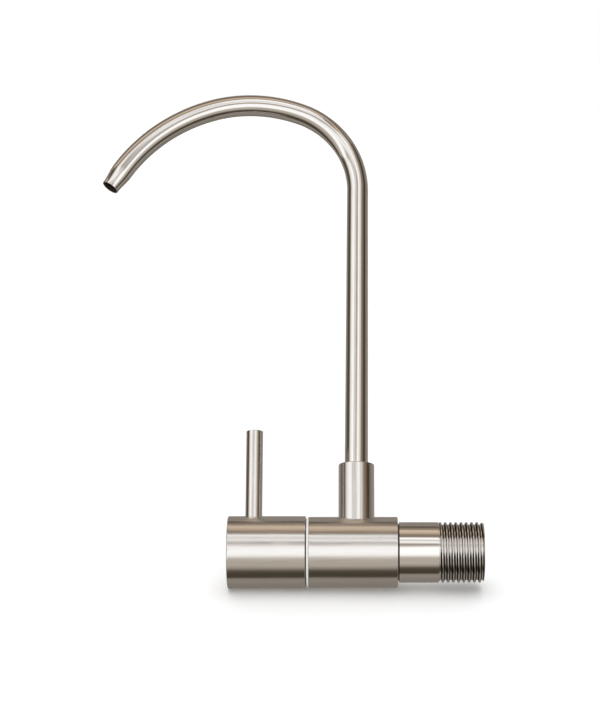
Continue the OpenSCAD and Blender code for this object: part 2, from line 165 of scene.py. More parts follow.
def next_ring(rise, factor, height, solid=False):
    """Extrudes the selected ring by rise, up to height, and scales it about Z."""
    if solid:
        bpy.ops.mesh.extrude_region_move(TRANSFORM_OT_translate={"value": (0, 0, rise)})
    else:
        bpy.ops.mesh.extrude_edges_move(TRANSFORM_OT_translate={"value": (0, 0, rise)})
    bpy.ops.transform.resize(value=(factor, factor, 1), center_override=(0, 0, height))


def round_edges(width, angle=25, segments=4):
    """Bevels every edge of the mesh in edit mode that is sharper than angle."""
    bpy.ops.mesh.select_mode(type="EDGE")
    bpy.ops.mesh.select_all(action="DESELECT")
    bpy.ops.mesh.edges_select_sharp(sharpness=radians(angle))
    bpy.ops.mesh.bevel(offset=width, segments=segments, profile=0.5, clamp_overlap=True)
    bpy.ops.mesh.select_mode(type="VERT")


def round_rims(height, width, segments):
    """Bevels the edges of the mesh in edit mode that run round at this height."""
    mesh = bmesh.from_edit_mesh(bpy.context.object.data)
    bpy.ops.mesh.select_mode(type="EDGE")
    bpy.ops.mesh.select_all(action="DESELECT")
    for edge in mesh.edges:
        edge.select_set(all(abs(vertex.co.z - height) < CLOSE for vertex in edge.verts))
    bmesh.update_edit_mesh(bpy.context.object.data)
    bpy.ops.mesh.bevel(offset=width, segments=segments, profile=0.5, clamp_overlap=True)
    bpy.ops.mesh.select_mode(type="VERT")


def face_outward():
    bpy.ops.mesh.select_all(action="SELECT")
    bpy.ops.mesh.normals_make_consistent(inside=False)


def finish_piece(name, turn=(0, 0, 0), place=(0, 0, 0)):
    """Leaves edit mode, puts the piece in place and keeps its object at the origin."""
    bpy.ops.object.mode_set(mode="OBJECT")
    piece = bpy.context.object
    piece.name = name
    piece.rotation_euler = turn
    piece.location = place
    bpy.ops.object.transform_apply(location=True, rotation=True, scale=True)
    return piece


def turned(
    name, section, rim=0.0, rims=(), segments=SEGMENTS, solid=False, turn=(0, 0, 0), place=(0, 0, 0)
):
    """A piece turned about Z. section lists (height, radius) round its wall, or up the outside of a solid.

    rim rounds every edge, and rims lists (height, width, segments) of single edges to round.
    """
    height, radius = section[0]
    start_ring(radius, height, segments, filled=solid)
    for up, out in section[1:]:
        next_ring(up - height, out / radius, up, solid)
        height, radius = up, out
    if not solid:
        bpy.ops.mesh.select_all(action="DESELECT")
        bpy.ops.mesh.select_non_manifold()
        bpy.ops.mesh.bridge_edge_loops()
    face_outward()
    if rim:
        round_edges(rim)
    for height, width, steps in rims:
        round_rims(height, width, steps)
    return finish_piece(name, turn, place)


ALONG_X = (0, pi / 2, 0)


def use(piece):
    bpy.ops.object.select_all(action="DESELECT")
    piece.select_set(True)
    bpy.context.view_layer.objects.active = piece


def apply_modifier(piece, kind, **values):
    """Adds a modifier to the piece and applies it."""
    use(piece)
    modifier = piece.modifiers.new(kind.lower(), kind)
    for name, value in values.items():
        setattr(modifier, name, value)
    bpy.ops.object.modifier_apply(modifier=modifier.name)


def combine(piece, tool, operation):
    """Joins the tool to the piece, or cuts it away, and removes the tool."""
    apply_modifier(piece, "BOOLEAN", object=tool, operation=operation, solver="EXACT")
    bpy.data.objects.remove(tool, do_unlink=True)


def smooth(piece, angle=32):
    """Shades the piece smoothly over its gentle edges, with the normals of its wide faces."""
    use(piece)
    bpy.ops.object.shade_smooth_by_angle(angle=radians(angle))
    apply_modifier(piece, "WEIGHTED_NORMAL", keep_sharp=True, weight=90)


# Handle drum

def make_drum():
    back, face = drum_box[1][0], drum_box[0][0]
    drum = turned(
        "drum",
        [(face, drum_r), (back, drum_r)],
        rims=[(face, drum_rim, 4), (back, joint_chamfer, 1)],
        solid=True,
        turn=ALONG_X,
    )
    recess_x = housing_box[0][0] - drum_recess
    bore = turned(
        "drum_bore",
        [(lever_x - drum_bore_end, drum_bore_r), (recess_x, drum_bore_r), (recess_x, drum_recess_r),
         (back + cut_past, drum_recess_r)],
        solid=True,
        turn=ALONG_X,
    )
    combine(drum, bore, "DIFFERENCE")
    screw_r = lever_r - lever_shoulder + fit
    hole = turned(
        "lever_hole",
        [(0, screw_r), (lever_seat_z, screw_r), (lever_seat_z, lever_r + fit),
         (2 * drum_r, lever_r + fit)],
        segments=ROUND_HOLE,
        solid=True,
        place=(lever_x, 0, 0),
    )
    combine(drum, hole, "DIFFERENCE")
    smooth(drum)
    return drum


def make_lever():
    screw_r = lever_r - lever_shoulder
    lever = turned(
        "lever",
        [(lever_box[0][2], screw_r), (lever_seat_z, screw_r), (lever_seat_z, lever_r),
         (lever_tip_z, lever_r)],
        rim=lever_rim,
        segments=ROUND_TUBE,
        solid=True,
        place=(lever_x, 0, 0),
    )
    smooth(lever)
    return lever


# Body with its collar

def make_body():
    body = turned(
        "body",
        [(body_front_x, body_r), (body_back_x, body_r)],
        rims=[(body_front_x, joint_chamfer, 1), (body_back_x, body_rim, 4)],
        segments=ROUND_BODY,
        solid=True,
        turn=ALONG_X,
    )
    collar = turned(
        "collar",
        [(0, collar_r), (collar_top_z, collar_r)],
        rim=collar_rim,
        solid=True,
        place=(collar_x, 0, 0),
    )
    combine(body, collar, "UNION")
    seat_x = seal_box[1][0]
    sleeve_end_x = ring_box[1][0]
    socket_x = body_back_x - spigot_len
    chamber = turned(
        "chamber",
        [(body_front_x - cut_past, sleeve_r + fit), (sleeve_end_x, sleeve_r + fit), (sleeve_end_x, chamber_r),
         (seat_x, chamber_r), (seat_x, seal_hole_r), (socket_x, seal_hole_r), (socket_x, spigot_r + fit),
         (body_back_x + cut_past, spigot_r + fit)],
        solid=True,
        turn=ALONG_X,
    )
    combine(body, chamber, "DIFFERENCE")
    floor_z = bush_box[0][2] - bush_gap
    socket = turned(
        "collar_bore",
        [(0, collar_hole_r), (floor_z, collar_hole_r), (floor_z, collar_bore_r),
         (2 * collar_top_z, collar_bore_r)],
        solid=True,
        place=(collar_x, 0, 0),
    )
    combine(body, socket, "DIFFERENCE")
    smooth(body)
    return body


def make_slip_ring():
    """The white ring, with a groove between its land and the handle drum."""
    front, back = ring_box[0][0], ring_box[1][0]
    ring_r = ring_box[1][1]
    groove_r = ring_r - groove_depth
    ring = turned(
        "ring",
        [(front + groove_w, ring_r), (body_front_x, ring_r), (body_front_x, sleeve_r), (back, sleeve_r),
         (back, ring_bore_r), (front, ring_bore_r), (front, groove_r), (front + groove_w, groove_r)],
        rim=ring_rim,
        turn=ALONG_X,
    )
    smooth(ring)
    return ring


def make_gasket():
    front, back = gasket_box[0][0], gasket_box[1][0]
    gasket_r = gasket_box[1][1]
    gasket = turned(
        "gasket",
        [(front, gasket_r), (back, gasket_r), (back, spigot_r + fit), (front, spigot_r + fit)],
        rim=gasket_rim,
        turn=ALONG_X,
    )
    smooth(gasket)
    return gasket


# Inlet tail with its thread

def thread_limit(x):
    """The radius that the thread's crests are turned down to at x."""
    if x < -fit:
        return tail_r - thread_relief
    from_end = (tail_box[1][0] - x) / thread_chamfer_len
    return min(thread_r, thread_r - thread_relief * (1 - from_end))


def thread_profile():
    """One pitch of the thread from root to root, as (place along it, height over the root)."""
    steps = 4
    turns = [thread_flank * step / steps for step in range(steps + 1)]
    crest = [
        (thread_rounding * sin(turn), thread_depth - thread_rounding * (1 - cos(turn))) for turn in turns
    ]
    root = [(thread_pitch / 2 - along, thread_depth - height) for along, height in reversed(crest)]
    half = crest + root
    return [(-along, height) for along, height in reversed(half[1:])] + half


def make_thread():
    """The helical surface of the thread, from inside the smooth stretch to the chamfered end."""
    end_x = tail_box[1][0]
    start_x = -thread_overlap
    bpy.ops.object.select_all(action="DESELECT")
    bpy.ops.mesh.primitive_plane_add()
    thread = bpy.context.object
    thread.name = "thread"
    points = [(root_r + height, 0, along) for along, height in thread_profile()]
    thread.data.clear_geometry()
    thread.data.from_pydata(points, [(i, i + 1) for i in range(len(points) - 1)], [])
    apply_modifier(
        thread, "SCREW", axis="Z", screw_offset=thread_pitch, iterations=int(end_x / thread_pitch) + 4,
        steps=96, render_steps=96, use_merge_vertices=True, merge_threshold=CLOSE,
    )
    thread.rotation_euler = ALONG_X
    thread.location = (thread_phase - 2 * thread_pitch, 0, 0)
    bpy.ops.object.transform_apply(location=True, rotation=True, scale=True)
    for vertex in thread.data.vertices:
        x, y, z = vertex.co
        factor = min(1, thread_limit(x) / hypot(y, z))
        vertex.co = (x, y * factor, z * factor)
    bpy.ops.object.mode_set(mode="EDIT")
    bpy.ops.mesh.select_all(action="SELECT")
    bpy.ops.mesh.remove_doubles(threshold=2 * CLOSE)
    for cut_x, outer in ((end_x, True), (start_x, False)):
        bpy.ops.mesh.select_all(action="SELECT")
        bpy.ops.mesh.bisect(
            plane_co=(cut_x, 0, 0), plane_no=(1, 0, 0), clear_outer=outer, clear_inner=not outer,
            threshold=CLOSE,
        )
    face_outward()
    bpy.ops.object.mode_set(mode="OBJECT")
    return thread


def make_tail():
    """The nipple with its smooth stretch, a core inside the thread, and the thread's surface on it."""
    gasket_end_x = gasket_box[1][0]
    spigot_x, end_x = tail_box[0][0], tail_box[1][0]
    notch_r = tail_r - notch_depth
    tail = turned(
        "tail",
        [(end_x - fit, tail_face_r), (end_x - fit, tail_bore_r), (spigot_x, tail_bore_r),
         (spigot_x, spigot_r), (gasket_end_x, spigot_r), (gasket_end_x, tail_r), (notch_x, tail_r),
         (notch_x + notch_slope, notch_r), (notch_end_x, notch_r), (0, core_r),
         (end_x - thread_overlap, core_r)],
        turn=ALONG_X,
    )
    smooth(tail)
    tail.data.materials.append(steel_bright)
    thread = make_thread()
    thread.data.materials.append(steel_thread)
    use(thread)
    bpy.ops.object.shade_smooth_by_angle(angle=radians(50))
    tail.select_set(True)
    bpy.context.view_layer.objects.active = tail
    bpy.ops.object.join()
    return tail


# Spout tube

def next_section(move, centre, factor):
    """Extrudes the selected ring by move, and scales it about its new centre."""
    bpy.ops.mesh.extrude_edges_move(TRANSFORM_OT_translate={"value": move})
    bpy.ops.transform.resize(value=(factor, factor, factor), center_override=centre)


def make_spout():
    """The gooseneck, drawn with its bends towards +X and then turned round the collar's axis.

    line lists its centres on the way, as (x, z, heading, length up to there).
    """
    foot_z = tube_box[0][2]
    start_ring(tube_r, foot_z, ROUND_TUBE)
    next_section((0, 0, collar_top_z - foot_z), (0, 0, collar_top_z), 1)
    x, z = 0.0, collar_top_z
    steps = 12
    rise = (rise_z - collar_top_z) / steps
    radius = tube_r
    for step in range(1, steps + 1):
        out = tube_r + (bend_r - tube_r) * step / steps
        x, z = x - rise * sin(lean), z + rise
        next_section((-rise * sin(lean), 0, rise), (x, 0, z), out / radius)
        radius = out
    heading = 0.0
    length = rise_z
    line = [(0.0, foot_z, 0.0, foot_z), (0.0, collar_top_z, 0.0, collar_top_z), (x, z, 0.0, length)]
    for bend_radius, angle in BENDS:
        centre = (x + bend_radius * cos(heading), 0, z - bend_radius * sin(heading))
        steps = round(angle / bend_step)
        bpy.ops.mesh.spin(steps=steps, angle=-angle, use_auto_merge=False, center=centre, axis=(0, 1, 0))
        for step in range(1, steps + 1):
            turn = angle * step / steps
            x = centre[0] - bend_radius * cos(heading + turn)
            z = centre[2] + bend_radius * sin(heading + turn)
            line.append((x, z, heading + turn, length + bend_radius * turn))
        heading += angle
        length += bend_radius * angle
    steps = 10
    rise = neck_len / steps
    for step in range(1, steps + 1):
        out = bend_r + (mouth_r - bend_r) * (1 - cos(pi * step / steps)) / 2
        move = (rise * sin(heading), 0, rise * cos(heading))
        x, z = x + move[0], z + move[2]
        next_section(move, (x, 0, z), out / radius)
        radius = out
        length += rise
        line.append((x, z, heading, length))
    face_outward()
    spout = finish_piece("spout")
    spout.data.materials.append(steel_tube)
    spout.data.materials.append(tube_bore_painted_shade)
    apply_modifier(spout, "SOLIDIFY", thickness=tube_wall, offset=-1, use_even_offset=True, material_offset=1)
    widen_mouth(spout, Vector((x, 0, z)))
    add_directions(spout, line)
    use(spout)
    spout.rotation_euler = (0, 0, pi + spout_turn)
    spout.location = (collar_x, 0, 0)
    bpy.ops.object.transform_apply(location=True, rotation=True, scale=True)
    smooth(spout, 40)
    return spout


def widen_mouth(spout, centre):
    """Countersinks the bore at the mouth, which leaves the tube a thin edge there."""
    for vertex in spout.data.vertices:
        reach = vertex.co - centre
        if reach.length < mouth_r - tube_wall / 2:
            vertex.co = centre + reach * (mouth_r - mouth_edge) / reach.length


# How far the arch's normals lean outward, by their outward part, since the world is far off and a studio near
TILTS = [
    (-0.66, 0.0), (-0.5, 0.11), (-0.35, 0.11), (-0.06, 0.08), (0.09, 0.08), (0.15, 0.03), (0.21, -0.04),
    (0.27, -0.09), (0.34, 0.02), (0.42, 0.03), (0.6, 0.0),
]

# The headings of the tube where the arch begins to mirror as if it stood square to the photo, and fully does
arch_start = radians(20)
arch_full = radians(60)


def between(table, value):
    """Reads a table of (place, amount) at value, straight between its places and level outside them."""
    for (start, low), (end, high) in zip(table, table[1:]):
        if value < end:
            return low + (high - low) * max(0, value - start) / (end - start)
    return table[-1][1]


def add_directions(spout, line):
    """Stores three vectors on each point of the tube, for its material.

    straight is the point's place if the tube were straight, and run is the way the tube runs there. tilt is
    what its normal gains, so that the arch mirrors the studio as if it weren't turned to the front.
    """
    tree = KDTree(len(line))
    for index, (x, z, heading, length) in enumerate(line):
        tree.insert((x, 0, z), index)
    tree.balance()
    straight, run, tilt = [
        spout.data.attributes.new(name, "FLOAT_VECTOR", "POINT") for name in ("straight", "run", "tilt")
    ]
    as_turned = Matrix.Rotation(pi + spout_turn, 3, "Z")
    for vertex, place, way, gain in zip(spout.data.vertices, straight.data, run.data, tilt.data):
        x, z, heading, length = line[tree.find((vertex.co.x, 0, vertex.co.z))[1]]
        across = Vector((cos(heading), 0, -sin(heading)))
        along = Vector((sin(heading), 0, cos(heading)))
        reach = vertex.co - Vector((x, 0, z))
        place.vector = (reach.dot(across), vertex.co.y, length + reach.dot(along))
        normal = reach / reach.length
        outward = -normal.dot(across)
        share = min(1, max(0, (heading - arch_start) / (arch_full - arch_start)))
        as_square = Matrix.Rotation(pi + spout_turn * (1 - share * (1 - outward ** 4)), 3, "Z")
        way.vector = as_square @ along
        gain.vector = as_square @ (normal - across * share * between(TILTS, outward)) - as_turned @ normal


# Nodes

def fed(tree, kind, values=(), **settings):
    """Adds a node with these settings. values feeds its inputs in order, with sockets or with numbers."""
    node = tree.nodes.new(kind)
    for name, value in settings.items():
        setattr(node, name, value)
    for socket, value in zip(node.inputs, values):
        if isinstance(value, bpy.types.NodeSocket):
            tree.links.new(value, socket)
        elif value is not None:
            socket.default_value = value
    return node


def worked(tree, operation, *values):
    """What a Math node makes of the values."""
    return fed(tree, "ShaderNodeMath", values, operation=operation).outputs[0]


def vector_worked(tree, operation, *values):
    """What a Vector Math node makes of the values."""
    return fed(tree, "ShaderNodeVectorMath", values, operation=operation).outputs["Vector"]


def scaled(tree, vector, factor):
    node = fed(tree, "ShaderNodeVectorMath", (vector, None, None, factor), operation="SCALE")
    return node.outputs["Vector"]


def length_of(tree, vector):
    return fed(tree, "ShaderNodeVectorMath", (vector,), operation="LENGTH").outputs["Value"]


def mapped(tree, value, from_min, from_max, to_min=0.0, to_max=1.0):
    """What a Map Range node makes of the value."""
    return fed(tree, "ShaderNodeMapRange", (value, from_min, from_max, to_min, to_max)).outputs["Result"]


def axes_of(tree, vector):
    """The X, Y and Z of a vector, by name."""
    return fed(tree, "ShaderNodeSeparateXYZ", (vector,)).outputs


# Materials

def new_material(name, colour, metallic=0.0, roughness=0.5):
    """A Principled material. Returns it with its nodes, its links and its shader."""
    material = bpy.data.materials.new(name)
    material.use_nodes = True
    nodes, links = material.node_tree.nodes, material.node_tree.links
    shader = nodes["Principled BSDF"]
    shader.inputs["Base Color"].default_value = (*colour, 1)
    shader.inputs["Metallic"].default_value = metallic
    shader.inputs["Roughness"].default_value = roughness
    return material, nodes, links, shader


def group_sockets(group, inputs, outputs):
    """Names a node group's inputs, with their defaults, and its outputs. Returns its two end nodes."""
    for name, kind, default in inputs:
        socket = group.interface.new_socket(name, in_out="INPUT", socket_type=kind)
        if default is not None:
            socket.default_value = default
    for name, kind in outputs:
        group.interface.new_socket(name, in_out="OUTPUT", socket_type=kind)
    return group.nodes.new("NodeGroupInput"), group.nodes.new("NodeGroupOutput")


# The middle stretch of a noise, and the depths of the two noises
NOISE_SPAN = (0.3, 0.7)
wave_depth = 0.1 * MM
scratch_depth = 0.02 * MM


def grain_group():
    """Node group: broad waves and fine scratches drawn out along one direction.

    It gives them as a colour, a roughness and a normal.
    """
    group = bpy.data.node_groups.new("drawn_grain", "ShaderNodeTree")
    into, out = group_sockets(
        group,
        (
            ("Vector", "NodeSocketVector", None),
            ("Stretch", "NodeSocketVector", (1, 1, 1)),
            ("Color", "NodeSocketColor", None),
            ("Shade", "NodeSocketFloat", 0.1),
            ("Roughness", "NodeSocketFloat", 0.2),
            ("Spread", "NodeSocketFloat", 0.05),
            ("Waves", "NodeSocketFloat", 0.1),
            ("Scratches", "NodeSocketFloat", 0.1),
        ),
        (("Color", "NodeSocketColor"), ("Roughness", "NodeSocketFloat"), ("Normal", "NodeSocketVector")),
    )
    given = into.outputs
    stretched = vector_worked(group, "MULTIPLY", given["Vector"], given["Stretch"])

    def noise(scale, detail):
        texture = fed(group, "ShaderNodeTexNoise", (stretched,))
        texture.inputs["Scale"].default_value = scale
        texture.inputs["Detail"].default_value = detail
        texture.inputs["Roughness"].default_value = 0.6
        return texture.outputs["Fac"]

    def bumped(height, strength, distance, normal=None):
        bump = group.nodes.new("ShaderNodeBump")
        bump.inputs["Distance"].default_value = distance
        group.links.new(height, bump.inputs["Height"])
        group.links.new(strength, bump.inputs["Strength"])
        if normal is not None:
            group.links.new(normal, bump.inputs["Normal"])
        return bump.outputs["Normal"]

    waves, scratches = noise(0.22, 2), noise(1, 5)
    smoothest = worked(group, "SUBTRACT", given["Roughness"], given["Spread"])
    roughest = worked(group, "ADD", given["Roughness"], given["Spread"])
    darkest = worked(group, "SUBTRACT", 1, given["Shade"])
    lightest = worked(group, "ADD", darkest, given["Shade"])
    light = mapped(group, scratches, *NOISE_SPAN, darkest, lightest)
    normal = bumped(waves, given["Waves"], wave_depth)
    normal = bumped(scratches, given["Scratches"], scratch_depth, normal)
    group.links.new(scaled(group, given["Color"], light), out.inputs["Color"])
    group.links.new(mapped(group, scratches, *NOISE_SPAN, smoothest, roughest), out.inputs["Roughness"])
    group.links.new(normal, out.inputs["Normal"])
    return group


GRAIN = grain_group()


def grained(name, colour, metallic, roughness, stretch, shade=0.06, spread=0.04, waves=0.1, scratches=0.1):
    """A Principled material with drawn grain in its colour, its roughness and its surface."""
    material, nodes, links, shader = new_material(name, colour, metallic, roughness)
    place = nodes.new("ShaderNodeTexCoord")
    grain = nodes.new("ShaderNodeGroup")
    grain.name = "grain"
    grain.node_tree = GRAIN
    values = {
        "Stretch": stretch, "Color": (*colour, 1), "Shade": shade, "Roughness": roughness, "Spread": spread,
        "Waves": waves, "Scratches": scratches,
    }
    for socket, value in values.items():
        grain.inputs[socket].default_value = value
    links.new(place.outputs["Object"], grain.inputs["Vector"])
    links.new(grain.outputs["Color"], shader.inputs["Base Color"])
    links.new(grain.outputs["Roughness"], shader.inputs["Roughness"])
    links.new(grain.outputs["Normal"], shader.inputs["Normal"])
    return material


def with_piece(material, vector):
    """Turns a vector of the piece's own axes with the piece, as its joint turns it."""
    return fed(
        material.node_tree, "ShaderNodeVectorTransform", (vector,),
        vector_type="VECTOR", convert_from="OBJECT", convert_to="WORLD",
    ).outputs[0]


def turned_finish(material, axis):
    """Gives the material a lathe's finish, whose rings about the axis smear what they mirror along it."""
    tree = material.node_tree
    shader = tree.nodes["Principled BSDF"]
    shader.inputs["Anisotropic"].default_value = 0.9
    direction = fed(tree, "ShaderNodeCombineXYZ", axis)
    tree.links.new(with_piece(material, direction.outputs[0]), shader.inputs["Tangent"])


def turn_collar(material, stretch, axis):
    """Gives the collar's wall a grain and a finish of its own axis."""
    tree = material.node_tree
    place = tree.nodes.new("ShaderNodeTexCoord").outputs["Object"]
    from_axis = vector_worked(tree, "SUBTRACT", place, (collar_x, 0, 0))
    radius = length_of(tree, vector_worked(tree, "MULTIPLY", from_axis, (1, 1, 0)))
    inside = worked(tree, "LESS_THAN", radius, collar_r + 0.01 * MM)
    upper = worked(tree, "GREATER_THAN", axes_of(tree, place)["Z"], 0)
    on_collar = worked(tree, "MULTIPLY", inside, upper)
    grain, shader = tree.nodes["grain"], tree.nodes["Principled BSDF"]
    for values, target in (
        ((grain.inputs["Stretch"].default_value[:], stretch), grain.inputs["Stretch"]),
        (((1, 0, 0), axis), shader.inputs["Tangent"].links[0].from_node.inputs[0]),
    ):
        choice = fed(tree, "ShaderNodeMix", (on_collar,), data_type="VECTOR")
        first, second = [
            socket for socket in choice.inputs if socket.type == "VECTOR" and socket.name in "AB"
        ]
        first.default_value, second.default_value = values
        tree.links.new([socket for socket in choice.outputs if socket.type == "VECTOR"][0], target)


def follow_tube(material):
    """Lets the material's grain, finish and normals follow the bent tube, by the vectors stored on it."""
    tree = material.node_tree
    straight, run, tilt = [
        fed(tree, "ShaderNodeAttribute", attribute_name=name).outputs["Vector"]
        for name in ("straight", "run", "tilt")
    ]
    grain, shader = tree.nodes["grain"], tree.nodes["Principled BSDF"]
    tree.links.new(straight, grain.inputs["Vector"])
    tree.links.new(run, shader.inputs["Tangent"].links[0].from_node.inputs[0])
    tilted = vector_worked(tree, "ADD", grain.outputs["Normal"], with_piece(material, tilt))
    tree.links.new(vector_worked(tree, "NORMALIZE", tilted), shader.inputs["Normal"])


def darken(material, light):
    """Paints shade into the material's colour, by scaling it with a light from 0 to 1."""
    tree = material.node_tree
    target = tree.nodes["Principled BSDF"].inputs["Base Color"]
    tree.links.new(scaled(tree, target.links[0].from_socket, light), target)


def paint_shade_below(material, floor_r, rim_r, darkest):
    """Paints shade into the material below a radius about the tap's axis, where little light gets in."""
    tree = material.node_tree
    place = tree.nodes.new("ShaderNodeTexCoord").outputs["Object"]
    radius = length_of(tree, vector_worked(tree, "MULTIPLY", place, (0, 1, 1)))
    darken(material, mapped(tree, radius, floor_r, rim_r, darkest))


# The part of a flank's normal along the axis, where its painted shade begins and where it is full
FLANK_SPAN = (0.66, 0.76)

# The upward part of a normal in the lit front's middle, and how far off it the flanks' lighter painted shade
# starts and ends to fade to the darkest
front_z = 0.035
FRONT_EDGE = (0.13, 0.18)


def paint_flank_shade(material, darkest, lightest):
    """Paints shade onto the thread's flanks, which mirror one another: less in front, where the studio lights
    them.
    """
    tree = material.node_tree
    normal = axes_of(tree, tree.nodes.new("ShaderNodeTexCoord").outputs["Normal"])
    steep = worked(tree, "ABSOLUTE", normal["X"])
    off_front = worked(tree, "ABSOLUTE", worked(tree, "SUBTRACT", normal["Z"], front_z))
    flank_painted_light = mapped(tree, off_front, *FRONT_EDGE, lightest, darkest)
    darken(material, mapped(tree, steep, *FLANK_SPAN, 1, flank_painted_light))


STEEL = (0.86, 0.84, 0.82)
SATIN_SHADE = 0.1
SATIN_LIGHT = [tint * (1 - SATIN_SHADE / 2) for tint in STEEL]
SATIN = {"shade": SATIN_SHADE, "waves": 0.12, "scratches": 0.14}
POLISHED = {"shade": 0.04, "spread": 0.02, "waves": 0.04, "scratches": 0.05}
TUBE_POLISH = {"shade": SATIN_SHADE, "spread": 0.02, "waves": 0.03, "scratches": 0.03}
ALONG = (100, 1500, 1500)
UPWARD = (1500, 1500, 100)
EVEN = (900, 900, 900)
steel_body = grained("steel_body", STEEL, 1.0, 0.2, ALONG, **SATIN)
steel_along = grained("steel_along", STEEL, 1.0, 0.2, ALONG, **SATIN)
steel_upward = grained("steel_upward", STEEL, 1.0, 0.13, UPWARD, **SATIN)
steel_tube = grained("steel_tube", STEEL, 1.0, 0.1, UPWARD, **TUBE_POLISH)
steel_rod = grained("steel_rod", STEEL, 1.0, 0.2, UPWARD, **SATIN)
steel_bright = grained("steel_bright", STEEL, 1.0, 0.06, ALONG, **POLISHED)
turned_finish(steel_body, (1, 0, 0))
turned_finish(steel_along, (1, 0, 0))
turned_finish(steel_rod, (0, 0, 1))
turned_finish(steel_tube, (0, 0, 1))
follow_tube(steel_tube)
# Painted shade: the tube's inner wall is near black, for the dark inside the bore
tube_bore_painted_shade = grained("tube_bore_painted_shade", (0.05, 0.035, 0.025), 0.6, 0.6, UPWARD)
turn_collar(steel_body, UPWARD, (0, 0, 1))
steel_thread = grained("steel_thread", STEEL, 1.0, 0.06, ALONG, **POLISHED)
# Painted shade: the thread's flanks are darkened, less in front where the studio lights them
paint_flank_shade(steel_thread, darkest=0.02, lightest=0.8)
white_plastic = grained("white_plastic", (0.93, 0.92, 0.9), 0.0, 0.4, EVEN)
# Painted shade: the white ring turns near black below its land, down its groove and bore, where little light
# gets in
paint_shade_below(
    white_plastic, floor_r=ring_box[1][1] - groove_depth, rim_r=ring_box[1][1] - 0.1 * MM, darkest=0.04
)
black_rubber = grained("black_rubber", (0.012, 0.012, 0.012), 0.0, 0.6, EVEN)
brass = grained("brass", (0.72, 0.5, 0.2), 1.0, 0.3, EVEN)
bearing_plastic = grained("bearing_plastic", (0.78, 0.74, 0.62), 0.0, 0.45, EVEN)
ceramic_disc = grained("ceramic_disc", (0.85, 0.84, 0.8), 0.0, 0.25, EVEN)
spring_steel = grained("spring_steel", (0.4, 0.4, 0.4), 1.0, 0.3, EVEN)

NODE_MATERIALS = {
    steel_body: ("valve_body",),
    steel_along: ("handle_drum",),
    steel_upward: ("spout_tube",),
    steel_rod: ("lever_rod",),
    steel_bright: ("inlet_tail",),
    white_plastic: ("slip_ring",),
    black_rubber: (
        "tail_gasket", "seat_seal", "bonnet_o_ring", "spindle_o_ring_outer", "spindle_o_ring_inner",
        "spout_o_ring_upper", "spout_o_ring_lower",
    ),
    brass: ("cartridge_housing", "cartridge_spindle", "spout_bush"),
    bearing_plastic: ("thrust_washer", "spout_glide_ring"),
    ceramic_disc: ("fixed_disc", "moving_disc"),
    spring_steel: ("spout_snap_ring", "handle_grub_screw", "spindle_circlip"),
}


def paint(piece, material):
    """Gives the piece the material, unless its maker has already given it some."""
    if len(piece.data.materials) < 2:
        piece.data.materials.clear()
        piece.data.materials.append(material)


for material, names in NODE_MATERIALS.items():
    for name in names:
        paint(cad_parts[name], material)

PIECES = (
    (make_drum, "handle_drum", "handle", steel_along, "satin_steel"),
    (make_lever, "lever_rod", "handle", steel_rod, "satin_steel"),
    (make_slip_ring, "slip_ring", "tap_body", white_plastic, "white_plastic"),
    (make_body, "valve_body", "tap_body", steel_body, "satin_steel"),
    (make_gasket, "tail_gasket", "tap_body", black_rubber, "black_rubber"),
    (make_tail, "inlet_tail", "tap_body", steel_bright, "satin_steel"),
    (make_spout, "spout_tube", "spout", steel_tube, "satin_steel"),
)
for make, node, body, material, slot in PIECES:
    piece = make()
    paint(piece, material)
    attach(piece, body)
    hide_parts(node)


# Floor, which the tap's shadow falls on. It glows a little for the camera, and is clear from behind

floor_tilt = radians(27)
floor_roll = radians(0.4)
floor_glow = 0.1
contact = (drum_box[0][0], drum_r * sin(floor_tilt), -drum_r * cos(floor_tilt))
bpy.ops.object.select_all(action="DESELECT")
bpy.ops.mesh.primitive_plane_add(size=4, rotation=(floor_tilt, floor_roll, 0), location=contact)
floor = bpy.context.object
floor.name = "floor"
bpy.ops.object.transform_apply(location=True, rotation=True, scale=True)
floor_material, nodes, links, shader = new_material("floor_white", (1, 1, 1), 0.0, 1.0)
shader.inputs["Specular IOR Level"].default_value = 0
tree = floor_material.node_tree
seen = worked(tree, "MULTIPLY", nodes.new("ShaderNodeLightPath").outputs["Is Camera Ray"], floor_glow)
glow = fed(tree, "ShaderNodeEmission", (None, seen))
both = fed(tree, "ShaderNodeAddShader", (shader.outputs[0], glow.outputs[0]))
front = worked(tree, "SUBTRACT", 1, nodes.new("ShaderNodeNewGeometry").outputs["Backfacing"])
clear = nodes.new("ShaderNodeBsdfTransparent")
choice = fed(tree, "ShaderNodeMixShader", (front, clear.outputs[0], both.outputs[0]))
links.new(choice.outputs[0], nodes["Material Output"].inputs["Surface"])
paint(floor, floor_material)
floor.visible_glossy = False


# World: a white studio with dark and tan panels, which the steel shows as bands

def ramp(tree, value, stops):
    """A colour ramp over an angle from -180 to 180 degrees. stops lists (angle, colour)."""
    node = fed(tree, "ShaderNodeValToRGB", (mapped(tree, value, -pi, pi),))
    elements = node.color_ramp.elements
    elements.remove(elements[1])
    elements[0].position = 0
    elements[0].color = (*stops[0][1], 1)
    for angle, colour in stops[1:]:
        elements.new((angle + 180) / 360).color = (*colour, 1)
    return node.outputs["Color"]


def shown(red, green, blue):
    """The light, in linear values, that the satin steel shows as this shade out of 255."""
    return tuple((shade / 255) ** 2.2 / tint for shade, tint in zip((red, green, blue), SATIN_LIGHT))


world = bpy.data.worlds.new("studio")
bpy.context.scene.world = world
world.use_nodes = True
tree = world.node_tree
nodes, links = tree.nodes, tree.links
nodes.clear()
axes = axes_of(tree, nodes.new("ShaderNodeTexCoord").outputs["Generated"])

